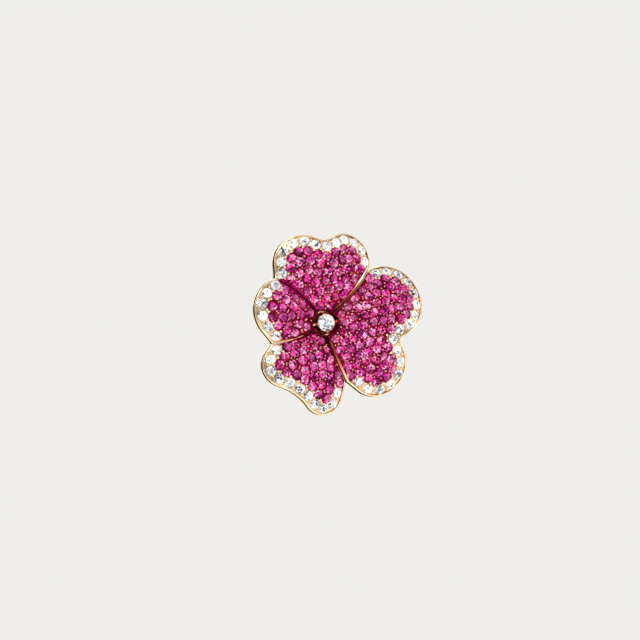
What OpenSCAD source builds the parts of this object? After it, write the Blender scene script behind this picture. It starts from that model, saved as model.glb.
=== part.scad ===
// Flower clip-on earring: four domed petals set with stones, pegged into a frame that carries the ear clip.
// Millimetres. +Z is up, the flower faces -Y, and the front of the ear lobe lies on the plane y = 0.

/* [Petals] */
// Height of the highest petal's crest in front of the lobe
crest_height = 7; // [6.8:0.1:7.4]
// Thickness of the petal metal
petal_wall = 1.3; // [1.2:0.05:1.4]
// Width of the plain rim round the outside of a petal
rim_width = 0.3; // [0.26:0.02:0.4]
// How far the rims stand above the bed that holds the stones
rim_lip = 0.2; // [0.1:0.05:0.25]
// Gap between neighbouring petals
seam_gap = 0.12; // [0.1:0.02:0.2]
// Radius of the well in the middle of the flower
well_r = 2.25; // [2.2:0.05:2.5]

/* [Stones] */
// Diameter of the pink stones that fill the petals
pink_d = 1.56; // [1.5:0.02:1.6]
// Diameter of the white stones round the edge
white_d = 1.84; // [1.78:0.02:1.86]
// Diameter of the stone in the middle
centre_d = 3.15; // [3:0.05:3.2]
// Least gap between two stones
stone_gap = 0.12; // [0.11:0.01:0.2]
// Clearance between a stone and its seat
seat_clear = 0.04; // [0.03:0.01:0.05]

/* [Centre] */
// Height of the middle stone's girdle in front of the lobe
centre_height = 5.6; // [5.4:0.1:5.8]
// Diameter of a prong
prong_d = 0.42; // [0.38:0.02:0.46]

/* [Frame and clip] */
// Thickness of the frame behind the petals
frame_wall = 0.8; // [0.7:0.05:0.9]
// Diameter of the pegs that fix the petals
peg_d = 1.2; // [1:0.1:1.4]
// Width of the clip's strip
clip_w = 5; // [4:0.5:6]
// Thickness of the clip's leaf behind the lobe
clip_wall = 0.8; // [0.7:0.05:0.9]
// Room for the ear lobe
lobe_gap = 5; // [4.6:0.1:6]
// Diameter of the clip's round paddle
paddle_d = 8.4; // [7:0.2:10]

/* [Hidden] */
$fn = 96;
fit_gap = 0.05;
gold = [0.93, 0.74, 0.45];
pink = [0.86, 0.10, 0.45];
white = [0.95, 0.96, 0.98];

// A cut stone: heights as shares of its diameter, and the sides of its outline
crown_share = 0.15;
girdle_share = 0.04;
pavilion_share = 0.43;
table_share = 0.56;
small_sides = 8;
centre_sides = 16;

// Seams in turn round the flower: where one leaves the outline, its angle at the well, its sideways bow,
// and the widths of the rims on the petals before and after it
SEAM_END = 0;
SEAM_ANGLE = 1;
SEAM_BOW = 2;
RIM_BEFORE = 3;
RIM_AFTER = 4;
seams = [
    [[8.05, 9.55], 50, 0.3, 0.16, 0.44],
    [[-8.95, 7.70], 127, 0.45, 0.16, 0.16],
    [[-9.40, -3.90], 217, -0.3, 0.26, 0.16],
    [[4.20, -9.95], 283, 0.3, 0.16, 0.44],
];

// Petals, petal i between seams i and i + 1: its outward angle, its dome's crest and the dome's radii across
// and along, how far the crest lies below the highest, the fillet in the notch between its lobes, the number
// of white stones on its edge, how far from the petal's two corners their row starts and ends, and the grid
// that its pink stones start from, as its pitch and its shifts across and along in steps
OUTWARD = 0;
CREST = 1;
ACROSS_R = 2;
ALONG_R = 3;
SUNK = 4;
NOTCH_R = 5;
WHITES = 6;
WHITE_TRIM = 7;
GRID = 8;
petals = [
    [93, [-0.8, 9.4], 16, 15, 0.1, 2.5, 12, [0, 0], [1.6, 0, 0.75]],
    [167, [-7.4, 1.9], 16, 15, 1.3, 1, 6, [0, 0], [1.6, 0, 0]],
    [240, [-4.0, -8.4], 18, 17, 1.3, 12, 11, [0, 2.0], [1.6, 0, 0]],
    [350, [9.2, -1.0], 19, 17, 0, 0.8, 17, [1.1, 1.0], [1.62, 0, 0.25]],
];

// The lobes of each petal in turn, as [x, z, radius]
petal_lobes = [
    [[3.75, 11.15, 4.85], [-4.05, 10.36, 5.08]],
    [[-6.73, 2.13, 6.03]],
    [[-7.18, -7.57, 3.97], [-0.10, -12.27, 3.79]],
    [[9.57, -7.03, 5.46], [11.74, 4.17, 6.56]],
];
TOP = 0;
LEFT = 1;
LOWER = 2;
RIGHT = 3;

arc_step = 6;
path_step = 0.6;
path_reach = 1.5;
slack = 0.000001;
edge_clear = 0.1;
well_rim = 0.16;
push_pitch = 2;
push_share = 0.4;
edge_push_share = 0.8;
spare = 0.02;
seat_over = 0.015;
start_room = 0.9;
settle_rounds = 130;
last_rounds = 60;
frame_front = 1.65;
frame_back = frame_front - frame_wall;
standoff_d = 2.6;
eye_d = 3.8;
arm_w = 2.4;
hub_r = 4.2;
rivet_d = 1;
rivet_spacing = 5;
clip_top = 5;
bend_z = -6.2;
paddle_z = 1;
basket_r = 2.03;
basket_wall = 0.7;
collar_r = 1.35;
collar_bore = 0.95;
prong_angles = [10, 100, 190, 280];
prong_head_d = 0.56;
prong_bite = 0.14;
prong_proud = 0.05;
big = 40;

// Points on an arc from angle a0 to angle a1, which may run either way
function arc(c, r, a0, a1) =
    let (n = max(1, ceil(abs(a1 - a0) / arc_step)))
    [for (i = [0:n]) let (a = a0 + (a1 - a0) * i / n) c + r * [cos(a), sin(a)]];

function angle_of(v) = atan2(v.y, v.x);
// Angle a, turned by whole turns until it lies in the turn that follows the angle start
function after(a, start) = let (d = a - start) start + d - 360 * floor(d / 360);
function unit(v) = v / norm(v);

// Where two circles meet, on the side away from the flower's middle
function outer_meet(c1, r1, c2, r2) =
    let (
        d = norm(c2 - c1),
        a = (r1 * r1 - r2 * r2 + d * d) / (2 * d),
        h = sqrt(r1 * r1 - a * a),
        along = (c2 - c1) / d,
        across = [-along.y, along.x],
        p = c1 + a * along + h * across,
        q = c1 + a * along - h * across
    )
    norm(p) > norm(q) ? p : q;

function lobe_centre(l) = [l.x, l.y];
function lobe_r(l) = l[2];
function without_ends(path) = [for (i = [1:1:len(path) - 2]) path[i]];
function reversed(path) = [for (i = [len(path) - 1:-1:0]) path[i]];

// The angle on a lobe where its edge turns into a straight line to a point, on either side of it (-1 or 1)
function leaving(l, point, side) =
    let (d = point - lobe_centre(l)) angle_of(d) + side * acos(min(1, lobe_r(l) / norm(d)));
// The point itself, when it lies off the lobe's edge
function beyond(l, point) = norm(point - lobe_centre(l)) > lobe_r(l) + path_step / 4 ? [point] : [];

// The outside edge of a petal, counter-clockwise from one seam's end to the next
function outer_path(i) =
    let (
        lobes = petal_lobes[i],
        first = lobes[0],
        last = lobes[len(lobes) - 1],
        start = seams[i][SEAM_END],
        end = seams[(i + 1) % len(seams)][SEAM_END],
        a0 = leaving(first, start, 1),
        a3 = leaving(last, end, -1),
        rn = petals[i][NOTCH_R],
        notch = outer_meet(lobe_centre(first), lobe_r(first) + rn, lobe_centre(last), lobe_r(last) + rn),
        a1 = after(angle_of(notch - lobe_centre(first)), a0),
        a2 = angle_of(notch - lobe_centre(last)),
        n0 = angle_of(lobe_centre(first) - notch),
        n1 = after(angle_of(lobe_centre(last) - notch), n0) - 360
    )
    concat(
        beyond(first, start),
        len(lobes) == 1
            ? arc(lobe_centre(first), lobe_r(first), a0, after(a3, a0))
            : concat(
                arc(lobe_centre(first), lobe_r(first), a0, a1),
                without_ends(arc(notch, rn, n0, n1)),
                arc(lobe_centre(last), lobe_r(last), a2, after(a3, a2))
            ),
        beyond(last, end)
    );

// A seam from the outline to the well, bowed sideways in a shallow parabola
function seam_path(i) =
    let (
        s = seams[i % len(seams)],
        foot = well_r * [cos(s[SEAM_ANGLE]), sin(s[SEAM_ANGLE])],
        span = foot - s[SEAM_END],
        side = unit([-span.y, span.x]),
        n = ceil(norm(span) / path_step)
    )
    [for (k = [0:n]) let (t = k / n) s[SEAM_END] + span * t + side * s[SEAM_BOW] * 4 * t * (1 - t)];

// The four sides of a petal, counter-clockwise: outside edge, one seam, well, other seam
function sides(i) =
    let (
        a0 = seams[i][SEAM_ANGLE],
        a1 = after(seams[(i + 1) % len(seams)][SEAM_ANGLE], a0)
    )
    [outer_path(i), seam_path(i + 1), arc([0, 0], well_r, a1, a0), reversed(seam_path(i))];

// A dome is part of a ring's surface. A point of the flower's plane as [across, along] from the dome's crest
function to_local(i, q) =
    let (a = petals[i][OUTWARD], d = q - petals[i][CREST])
    [d.x * sin(a) - d.y * cos(a), d.x * cos(a) + d.y * sin(a)];
// A direction given as [across, along, height], in the earring's axes
function to_world(i, w) =
    let (a = petals[i][OUTWARD])
    [w.x * sin(a) + w.y * cos(a), -w.z, -w.x * cos(a) + w.y * sin(a)];

// Height of the dome above a point of the plane, for the surface that lies a depth below the top
function dome_height(i, q, depth) =
    let (
        p = petals[i],
        w = to_local(i, q),
        r = p[ALONG_R] - depth,
        reach = p[ACROSS_R] - p[ALONG_R] + sqrt(r * r - w.y * w.y)
    )
    crest_height - p[SUNK] - p[ACROSS_R] + sqrt(reach * reach - w.x * w.x);

function on_bed(i, q) = [q.x, -dome_height(i, q, rim_lip), q.y];

// The place and the outward direction of a stone on the bed
function seat(i, q) =
    let (
        p = petals[i],
        w = to_local(i, q),
        r = p[ALONG_R] - rim_lip,
        tube = sqrt(r * r - w.y * w.y),
        reach = p[ACROSS_R] - p[ALONG_R] + tube,
        rise = sqrt(reach * reach - w.x * w.x)
    )
    [on_bed(i, q), to_world(i, [tube * w.x / reach, w.y, tube * rise / reach] / r)];

// A path moved to its left by a distance measured on the dome, and drawn out a little at both ends
function moved(i, path, by) =
    let (
        last = len(path) - 1,
        line = [for (k = [0:last])
            let (
                t = path[min(k + 1, last)] - path[max(k - 1, 0)],
                left = unit([-t.y, t.x]),
                slope = dome_height(i, path[k] + left * by, 0) - dome_height(i, path[k], 0)
            )
            path[k] + left * (by > 0 ? by * by / norm([by, slope]) : 0)]
    )
    concat(
        [line[0] + unit(line[0] - line[1]) * path_reach],
        line,
        [line[last] + unit(line[last] - line[last - 1]) * path_reach]
    );

// Where path one crosses path two, as the segments' numbers and the point
function crossing(one, two) =
    [for (i = [0:len(one) - 2], j = [0:len(two) - 2])
        let (
            r = one[i + 1] - one[i],
            s = two[j + 1] - two[j],
            d = two[j] - one[i],
            area = r.x * s.y - r.y * s.x
        )
        if (area != 0)
        let (t = (d.x * s.y - d.y * s.x) / area, u = (d.x * r.y - d.y * r.x) / area)
        if (min(t, u) >= -slack && max(t, u) <= 1 + slack) [i, j, one[i] + r * t]][0];

// The sides of petal i moved inwards, each by its own distance, and each cut where it crosses its neighbours
function cut_sides(i, by) =
    let (
        lines = [for (k = [0:3]) moved(i, sides(i)[k], by[k])],
        corners = [for (k = [0:3]) crossing(lines[k], lines[(k + 1) % 4])]
    )
    [for (k = [0:3])
        let (start = corners[(k + 3) % 4], end = corners[k])
        concat([start[2]], [for (n = [start[1] + 1:1:end[0]]) lines[k][n]], [end[2]])];

function outline(i, by) = [for (side = cut_sides(i, by)) each [for (k = [0:len(side) - 2]) side[k]]];

// The petal's own edge lies half a seam's gap inside its seams. Its rim's inner edge lies one rim further in
function edge_by() = [0, seam_gap / 2, 0, seam_gap / 2];
function rim_by(i) =
    [
        rim_width,
        seam_gap / 2 + seams[(i + 1) % len(seams)][RIM_BEFORE],
        well_rim,
        seam_gap / 2 + seams[i][RIM_AFTER],
    ];

// Seats at equal steps along a line in the plane, the steps and the trims at both ends measured on the bed
function walk(i, line, count, trim) =
    let (
        at = [for (q = line) on_bed(i, q)],
        steps = [for (k = [0:len(at) - 1]) k == 0 ? 0 : norm(at[k] - at[k - 1])],
        run = [
            for (k = 0, sum = 0; k < len(at); k = k + 1, sum = k < len(at) ? sum + steps[k] : sum)
            [sum, k]
        ],
        length = run[len(run) - 1][0] - trim[0] - trim[1]
    )
    [for (j = [0:count - 1])
        let (k = lookup(trim[0] + length * j / (count - 1), run), a = min(floor(k), len(line) - 2))
        seat(i, line[a] + (line[a + 1] - line[a]) * (k - a))];

function grown(widths, by) = [for (w = widths) w + by];
function white_seats(i) =
    let (line = cut_sides(i, grown(rim_by(i), edge_clear + white_d / 2))[0])
    walk(i, line, petals[i][WHITES], petals[i][WHITE_TRIM]);

function foot(q, a, b) = let (ab = b - a) a + ab * max(0, min(1, (q - a) * ab / (ab * ab)));
function nearest(q, path) =
    let (
        feet = [for (k = [0:len(path) - 2]) foot(q, path[k], path[k + 1])],
        away = [for (f = feet) norm(q - f)],
        least = min(away)
    )
    [for (k = [0:len(away) - 1]) if (away[k] == least) feet[k]][0];

// How far a point at q is pushed by one at p, when they are nearer than the reach
function push(p, q, reach) = let (d = norm(q - p)) d < reach && d > 0 ? (q - p) / d * (reach - d) : [0, 0, 0];

// Stones on a bed push each other apart, and white stones and rims push them inwards, until they lie evenly.
// In the last rounds only those that are too near each other still push.
function settled(i, places, whites, edges, rounds) =
    rounds == 0
        ? places
        : let (
            at = [for (q = places) on_bed(i, q)],
            reach = rounds > last_rounds ? push_pitch : pink_d + stone_gap + spare,
            to_white = (white_d + pink_d) / 2 + stone_gap + spare,
            to_edge = pink_d / 2 + edge_clear,
            next = [for (k = [0:len(at) - 1])
                let (
                    pushes = concat(
                        [[0, 0, 0]],
                        [for (p = at) push(p, at[k], reach) * push_share],
                        [for (w = whites) push(w[0], at[k], to_white) * edge_push_share],
                        [for (e = edges) push(nearest(at[k], e), at[k], to_edge) * edge_push_share]
                    ),
                    total = [for (p = pushes) 1] * pushes
                )
                places[k] + [total.x, total.z]]
        )
        settled(i, next, whites, edges, rounds - 1);

// Is q inside the closed outline? Counts the edges that a line to the right of q crosses
function inside(q, shape) =
    len([for (k = [0:len(shape) - 1])
        let (a = shape[k], b = shape[(k + 1) % len(shape)])
        if ((a.y > q.y) != (b.y > q.y) && q.x < a.x + (q.y - a.y) / (b.y - a.y) * (b.x - a.x)) 1]) % 2 == 1;

function is_clear(q, others, least) = len([for (p = others) if (norm(p - q) < least) 1]) == 0;

// Points of a triangular grid that leave most of a stone's room inside the rims and beside the white stones
function pink_places(i, whites, edges) =
    let (
        grid = petals[i][GRID],
        pitch = grid[0],
        bed = outline(i, rim_by(i)),
        n = ceil(big / 2 / pitch)
    )
    [for (v = [-n:n], u = [-n:n])
        let (
            across = (u + (v % 2 == 0 ? 0 : 0.5) + grid[1]) * pitch,
            along = (v + grid[2]) * pitch * sin(60),
            w = to_world(i, [across, along, 0]),
            q = petals[i][CREST] + [w.x, w.z]
        )
        if (inside(q, bed))
        let (at = on_bed(i, q))
        if (is_clear(at, [for (e = edges) nearest(at, e)], start_room * pink_d / 2)
            && is_clear(at, [for (s = whites) s[0]], start_room * (pink_d + white_d) / 2)) q];

function pink_seats(i) =
    let (
        whites = white_seats(i),
        edges = [for (side = cut_sides(i, rim_by(i))) [for (q = side) on_bed(i, q)]]
    )
    [for (q = settled(i, pink_places(i, whites, edges), whites, edges, settle_rounds)) seat(i, q)];

// Two directions square to n, which complete a right-handed frame with it
function square_to(n) = let (a = unit(cross(abs(n.z) < 0.9 ? [0, 0, 1] : [1, 0, 0], n))) [a, cross(n, a)];

// The points of one cut stone: its table, the top and foot of its girdle, and its lower point
function stone_points(at, n, d, count) =
    let (
        e = square_to(n),
        step = 360 / count
    )
    concat(
        [for (k = [0:count - 1])
            at + n * d * (girdle_share + crown_share)
                + (e[0] * cos(step * (k + 0.5)) + e[1] * sin(step * (k + 0.5))) * d / 2 * table_share],
        [for (z = [girdle_share, 0], k = [0:count - 1])
            at + n * d * z + (e[0] * cos(step * k) + e[1] * sin(step * k)) * d / 2],
        [at - n * d * pavilion_share]
    );

function stone_faces(first, count) =
    let (top = first + count, girdle = first + 2 * count, point = first + 3 * count)
    concat(
        [[for (k = [count - 1:-1:0]) first + k]],
        [for (k = [0:count - 1]) let (m = (k + 1) % count)
            each [
                [first + k, top + m, top + k],
                [first + k, first + m, top + m],
                [top + k, top + m, girdle + m, girdle + k],
                [girdle + k, girdle + m, point],
            ]]
    );

// A field of separate stones, one on each seat
module stones(seats, d, count) {
    size = 3 * count + 1;
    polyhedron(
        points = [for (s = seats) each stone_points(s[0], s[1], d, count)],
        faces = [for (k = [0:len(seats) - 1]) each stone_faces(k * size, count)]
    );
}

// Puts its children at a seat, with +Z outwards
module on_seat(s) {
    e = square_to(s[1]);
    multmatrix([
        [e[0].x, e[1].x, s[1].x, s[0].x],
        [e[0].y, e[1].y, s[1].y, s[0].y],
        [e[0].z, e[1].z, s[1].z, s[0].z],
        [0, 0, 0, 1],
    ]) children();
}

// The conical seat that is drilled for a stone
module seat_cut(d) {
    r = d / 2 + seat_clear;
    depth = 2 * pavilion_share * r;
    height = depth + seat_over;
    translate([0, 0, -depth]) cylinder(h = height, r1 = 0, r2 = r * height / depth);
}

// A layer of a petal's dome: the solid between two depths below its top surface
module dome_layer(i, from, to) {
    p = petals[i];
    ring = p[ACROSS_R] - p[ALONG_R];
    core = ring + 0.5;
    reach = 62;
    half = 52;
    across = to_world(i, [1, 0, 0]);
    along = to_world(i, [0, 1, 0]);
    multmatrix([
        [across.x, along.x, 0, p[CREST].x],
        [0, 0, -1, p[SUNK] + p[ACROSS_R] - crest_height],
        [across.z, along.z, 0, p[CREST].y],
        [0, 0, 0, 1],
    ])
    multmatrix([[0, 1, 0, 0], [0, 0, 1, 0], [1, 0, 0, 0], [0, 0, 0, 1]])
    rotate([0, 0, -half])
    rotate_extrude(angle = 2 * half)
    intersection() {
        difference() {
            translate([ring, 0]) circle(r = p[ALONG_R] - from);
            translate([ring, 0]) circle(r = p[ALONG_R] - to);
        }
        polygon([
            [core, 0],
            [core + big * cos(reach), -big * sin(reach)],
            [core + big, 0],
            [core + big * cos(reach), big * sin(reach)],
        ]);
    }
}

// A straight prism through the flower over an outline in its plane
module through(shape) {
    translate([0, 1, 0]) rotate([90, 0, 0]) linear_extrude(height = crest_height + 2) polygon(shape);
}

module petal(i) {
    p = petals[i];
    back = crest_height - p[SUNK] - petal_wall;
    root = 0.2;
    color(gold) {
        difference() {
            union() {
                difference() {
                    intersection() {
                        dome_layer(i, 0, petal_wall);
                        through(outline(i, edge_by()));
                    }
                    intersection() {
                        dome_layer(i, -1, rim_lip);
                        through(outline(i, rim_by(i)));
                    }
                }
                translate([p[CREST].x, -back - root, p[CREST].y])
                rotate([-90, 0, 0]) {
                    cylinder(h = back + root - frame_front - fit_gap, d = standoff_d);
                    cylinder(h = back + root - frame_back, d = peg_d);
                }
            }
            for (s = pink_seats(i)) on_seat(s) seat_cut(pink_d);
            for (s = white_seats(i)) on_seat(s) seat_cut(white_d);
        }
    }
}

module petal_top() petal(TOP);
module petal_left() petal(LEFT);
module petal_lower() petal(LOWER);
module petal_right() petal(RIGHT);

module pink_stones(i) {
    color(pink) stones(pink_seats(i), pink_d, small_sides);
}
module pink_stones_top() pink_stones(TOP);
module pink_stones_left() pink_stones(LEFT);
module pink_stones_lower() pink_stones(LOWER);
module pink_stones_right() pink_stones(RIGHT);

module white_stones(i) {
    color(white) stones(white_seats(i), white_d, small_sides);
}
module white_stones_top() white_stones(TOP);
module white_stones_left() white_stones(LEFT);
module white_stones_lower() white_stones(LOWER);
module white_stones_right() white_stones(RIGHT);

// Basket that holds the middle stone: a base pegged into the frame, a collar under the stone, and prongs
module centre_setting() {
    base = frame_front + fit_gap;
    slant = 2 * pavilion_share;
    lip = centre_height - seat_clear - (centre_d / 2 - collar_r) * slant;
    color(gold) {
        rotate([90, 0, 0]) {
            rotate_extrude()
            polygon([
                [0, frame_back],
                [peg_d / 2, frame_back],
                [peg_d / 2, base],
                [basket_r, base],
                [basket_r, base + basket_wall],
                [collar_r, base + basket_wall],
                [collar_r, lip],
                [collar_bore, lip - (collar_r - collar_bore) * slant],
                [collar_bore, base + basket_wall],
                [0, base + basket_wall],
            ]);
            for (a = prong_angles) rotate([0, 0, a]) prong();
        }
    }
}

// A round wire beside the girdle. Its head leans in over the stone's crown.
module prong() {
    base = frame_front + fit_gap + basket_wall / 2;
    crown_angle = atan(crown_share / ((1 - table_share) / 2));
    clear = prong_head_d / 2 + seat_clear;
    girdle_top = centre_height + centre_d * girdle_share;
    head_at = centre_d / 2 - prong_bite * cos(crown_angle) + clear * sin(crown_angle);
    head_up = girdle_top + prong_bite * sin(crown_angle) + clear * cos(crown_angle);
    wire_at = basket_r + prong_proud - prong_d / 2;
    translate([wire_at, 0, base]) cylinder(h = head_up - base, d = prong_d, $fn = 32);
    translate([head_at, 0, head_up]) sphere(d = prong_head_d, $fn = 32);
}

module centre_stone() {
    color(white) stones([[[0, -centre_height, 0], [0, -1, 0]]], centre_d, centre_sides);
}

// Plate behind the petals: a hub with four arms, each ending in an eye for a petal's peg
module back_frame() {
    color(gold)
    translate([0, -frame_back, 0])
    rotate([90, 0, 0])
    linear_extrude(height = frame_wall)
    difference() {
        union() {
            circle(r = hub_r);
            for (p = petals) {
                translate(p[CREST]) circle(d = eye_d);
                rotate(angle_of(p[CREST])) translate([0, -arm_w / 2]) square([norm(p[CREST]), arm_w]);
            }
        }
        for (p = petals) translate(p[CREST]) circle(d = peg_d + 2 * fit_gap);
        circle(d = peg_d + 2 * fit_gap);
        for (z = [-1, 1]) translate([0, z * rivet_spacing / 2]) circle(d = rivet_d + 2 * fit_gap);
    }
}

// One bent strip: a base on the frame, a bend under the lobe and a leaf with a round paddle behind it
module ear_clip() {
    inner_r = lobe_gap / 2;
    base_wall = frame_back - fit_gap;
    outer_r = inner_r + base_wall;
    overlap = 0.01;
    side = 2 * outer_r + 2;
    color(gold) {
        translate([-clip_w / 2, 0, 0])
        rotate([90, 0, 90])
        linear_extrude(height = clip_w)
        union() {
            translate([-base_wall, bend_z]) square([base_wall, clip_top - bend_z]);
            translate([lobe_gap, bend_z]) square([clip_wall, paddle_z - bend_z]);
            translate([inner_r, bend_z])
            intersection() {
                difference() {
                    circle(r = outer_r);
                    circle(r = inner_r);
                }
                translate([-side / 2, overlap - side]) square([side, side]);
            }
        }
        translate([0, lobe_gap, paddle_z]) rotate([-90, 0, 0]) cylinder(h = clip_wall, d = paddle_d);
        for (z = [-1, 1])
            translate([0, -base_wall / 2, z * rivet_spacing / 2])
            rotate([90, 0, 0])
            cylinder(h = frame_front - base_wall / 2, d = rivet_d);
    }
}

petal_top();
petal_left();
petal_lower();
petal_right();
pink_stones_top();
pink_stones_left();
pink_stones_lower();
pink_stones_right();
white_stones_top();
white_stones_left();
white_stones_lower();
white_stones_right();
centre_setting();
centre_stone();
back_frame();
ear_clip();
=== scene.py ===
"""Flower clip-on earring: polished gold petals paved with cut stones, laid out as an add-on and run as a script."""

import math
import random

import bmesh
import bpy
from bpy.props import FloatProperty, FloatVectorProperty, IntProperty, PointerProperty
from mathutils import Matrix, Vector
from mathutils.geometry import delaunay_2d_cdt
from mathutils.kdtree import KDTree


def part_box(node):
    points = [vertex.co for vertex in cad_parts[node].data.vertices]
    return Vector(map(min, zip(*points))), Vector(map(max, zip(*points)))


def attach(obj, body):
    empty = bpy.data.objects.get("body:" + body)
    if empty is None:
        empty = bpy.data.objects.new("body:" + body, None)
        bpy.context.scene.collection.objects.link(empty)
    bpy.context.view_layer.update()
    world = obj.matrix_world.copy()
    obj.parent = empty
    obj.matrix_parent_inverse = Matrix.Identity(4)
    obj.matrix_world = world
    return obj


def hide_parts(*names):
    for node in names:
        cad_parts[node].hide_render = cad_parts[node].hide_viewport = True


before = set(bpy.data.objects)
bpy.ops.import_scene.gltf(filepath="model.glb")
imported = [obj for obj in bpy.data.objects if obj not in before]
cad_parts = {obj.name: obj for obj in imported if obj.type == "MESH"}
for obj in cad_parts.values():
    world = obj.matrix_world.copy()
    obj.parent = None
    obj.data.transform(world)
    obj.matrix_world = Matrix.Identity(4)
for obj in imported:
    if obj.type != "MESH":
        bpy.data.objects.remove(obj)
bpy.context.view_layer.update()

bl_info = {
    "name": "Flower clip-on earring",
    "version": (1, 0, 0),
    "blender": (4, 5, 0),
    "location": "3D View > Sidebar > Earring",
    "description": "Builds a flower earring of four domed petals paved with cut stones",
    "category": "Object",
}

MM = 0.001
# Points nearer than this are one
WELD = 0.002 * MM
PETALS = ("top", "left", "lower", "right")
# The seams, or parts of one, whose rims are painted with the pink stones' shade and light: the two ends as x and z
# in millimetres, and how far. At 1 the rims take a dark red painted shade, at 2 a pink painted reflection.
SHADED_SEAMS = (((-7.6, 6.9), (-1.35, 1.8), 2.0), ((-5.9, -2.75), (-1.8, -1.35), 1.0))


class PetalSettings(bpy.types.PropertyGroup):
    """Sizes of the petals' polished metal, and the reach of the painted shade and pink light on it."""

    rim_round: FloatProperty(
        name="Rim rounding", description="Width of the rounding along the rims", default=0.07 * MM, unit="LENGTH"
    )
    ridge: FloatProperty(
        name="Ridge", description="Width of the ridges above and below the groove", default=0.22 * MM, unit="LENGTH"
    )
    groove: FloatProperty(
        name="Groove", description="Depth of the groove round a petal's wall", default=0.06 * MM, unit="LENGTH"
    )
    step: FloatProperty(
        name="Step", description="Width of the groove's sloping sides", default=0.05 * MM, unit="LENGTH"
    )
    # Painted shade in the well round the middle stone reaches this far
    well_r: FloatProperty(
        name="Well", description="Reach of the shade round the middle", default=3.4 * MM, unit="LENGTH"
    )
    # The stones' pink light along the rims is a painted reflection that fades out at this reach
    painted_glow_r: FloatProperty(
        name="Glow", description="Reach of the stones' pink light along the rims", default=10.5 * MM, unit="LENGTH"
    )
    # Painted shade on the bed between the white stones
    bed_shade: FloatProperty(name="Bed shade", description="Shade on the bed round the white stones", default=0.8)
    # Painted shade and pink reflection beside the shaded seams reach this far
    seam_shade: FloatProperty(
        name="Seam shade", description="Reach of the shade beside the shaded seams", default=0.75 * MM, unit="LENGTH"
    )


class StoneSettings(bpy.types.PropertyGroup):
    """Proportions and colours of the cut stones. Heights are shares of the diameter, from the girdle's foot."""

    table: FloatProperty(name="Table", description="Width of the table", default=0.56)
    crown: FloatProperty(name="Crown", description="Height of the table", default=0.19)
    girdle: FloatProperty(name="Girdle", description="Height of the girdle's top", default=0.04)
    pavilion: FloatProperty(name="Pavilion", description="Depth of the lower point", default=0.43)
    growth: FloatProperty(
        name="Growth", description="Size of a pink stone in its seat, over the plain one's", default=1.055
    )
    # Painted shade on the stones fades out at this reach from the flower's middle
    hollow_shade_r: FloatProperty(
        name="Hollow shade", description="Reach of the shade on the stones", default=7 * MM, unit="LENGTH"
    )
    sink: FloatProperty(
        name="Sink", description="How far a stone is pressed into its seat", default=0.02 * MM, unit="LENGTH"
    )
    tilt: FloatProperty(name="Tilt", description="Most that a stone leans", default=math.radians(4), subtype="ANGLE")
    seed: IntProperty(name="Seed", description="Start of the stones' chance turns and tones", default=7)
    centre_seed: IntProperty(
        name="Centre seed", description="Start of the middle stone's chance turn and tones", default=1
    )
    # Pink tones, depth to lilac: painted shade in the stones, their body colour, then painted highlights
    pink_depth: FloatVectorProperty(
        name="Pink depth", description="Darkest tone of the pink stones", default=(0.05, 0.0, 0.016), subtype="COLOR"
    )
    pink_dark: FloatVectorProperty(
        name="Pink dark", description="Deep tone of the pink stones", default=(0.19, 0.001, 0.07), subtype="COLOR"
    )
    pink_body: FloatVectorProperty(
        name="Pink body", description="Body colour of the pink stones", default=(0.52, 0.006, 0.2), subtype="COLOR"
    )
    pink_bright: FloatVectorProperty(
        name="Pink bright", description="Bright tone of the pink stones", default=(0.9, 0.02, 0.38), subtype="COLOR"
    )
    pink_lilac: FloatVectorProperty(
        name="Pink lilac", description="Palest tone of the pink stones", default=(0.64, 0.13, 0.42), subtype="COLOR"
    )
    # A painted sheen over the middle of some pink stones
    pink_sheen: FloatVectorProperty(
        name="Pink sheen", description="Tone of the veil over some pink stones",
        default=(0.36, 0.12, 0.25), subtype="COLOR",
    )
    # White tones: painted dark reflections in the stones, and their body colour
    white_depth: FloatVectorProperty(
        name="White depth", description="Darkest tone of white stones", default=(0.028, 0.032, 0.042), subtype="COLOR"
    )
    white_body: FloatVectorProperty(
        name="White body", description="Body colour of the white stones", default=(0.8, 0.84, 0.91), subtype="COLOR"
    )


class BeadSettings(bpy.types.PropertyGroup):
    """Sizes of the beads of metal that hold the stones."""

    least: FloatProperty(
        name="Least bead", description="Radius of the smallest bead", default=0.125 * MM, unit="LENGTH"
    )
    most: FloatProperty(name="Most bead", description="Radius of the largest bead", default=0.18 * MM, unit="LENGTH")
    well_r: FloatProperty(
        name="Well", description="Reach of the larger beads round the middle", default=5.5 * MM, unit="LENGTH"
    )
    inner: FloatProperty(
        name="Inner beads", description="Size of the beads round the middle, over the others", default=1.3
    )
    outer: FloatProperty(
        name="Outer beads", description="Size of the beads by the white stones, over the others", default=1.5
    )
    span: FloatProperty(name="Span", description="Widest gap that gets a bead", default=1.5 * MM, unit="LENGTH")
    bite: FloatProperty(
        name="Bite", description="How far a bead reaches over its stones", default=0.07 * MM, unit="LENGTH"
    )
    height: FloatProperty(name="Height", description="Top of a bead above the bed", default=0.34 * MM, unit="LENGTH")


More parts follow.
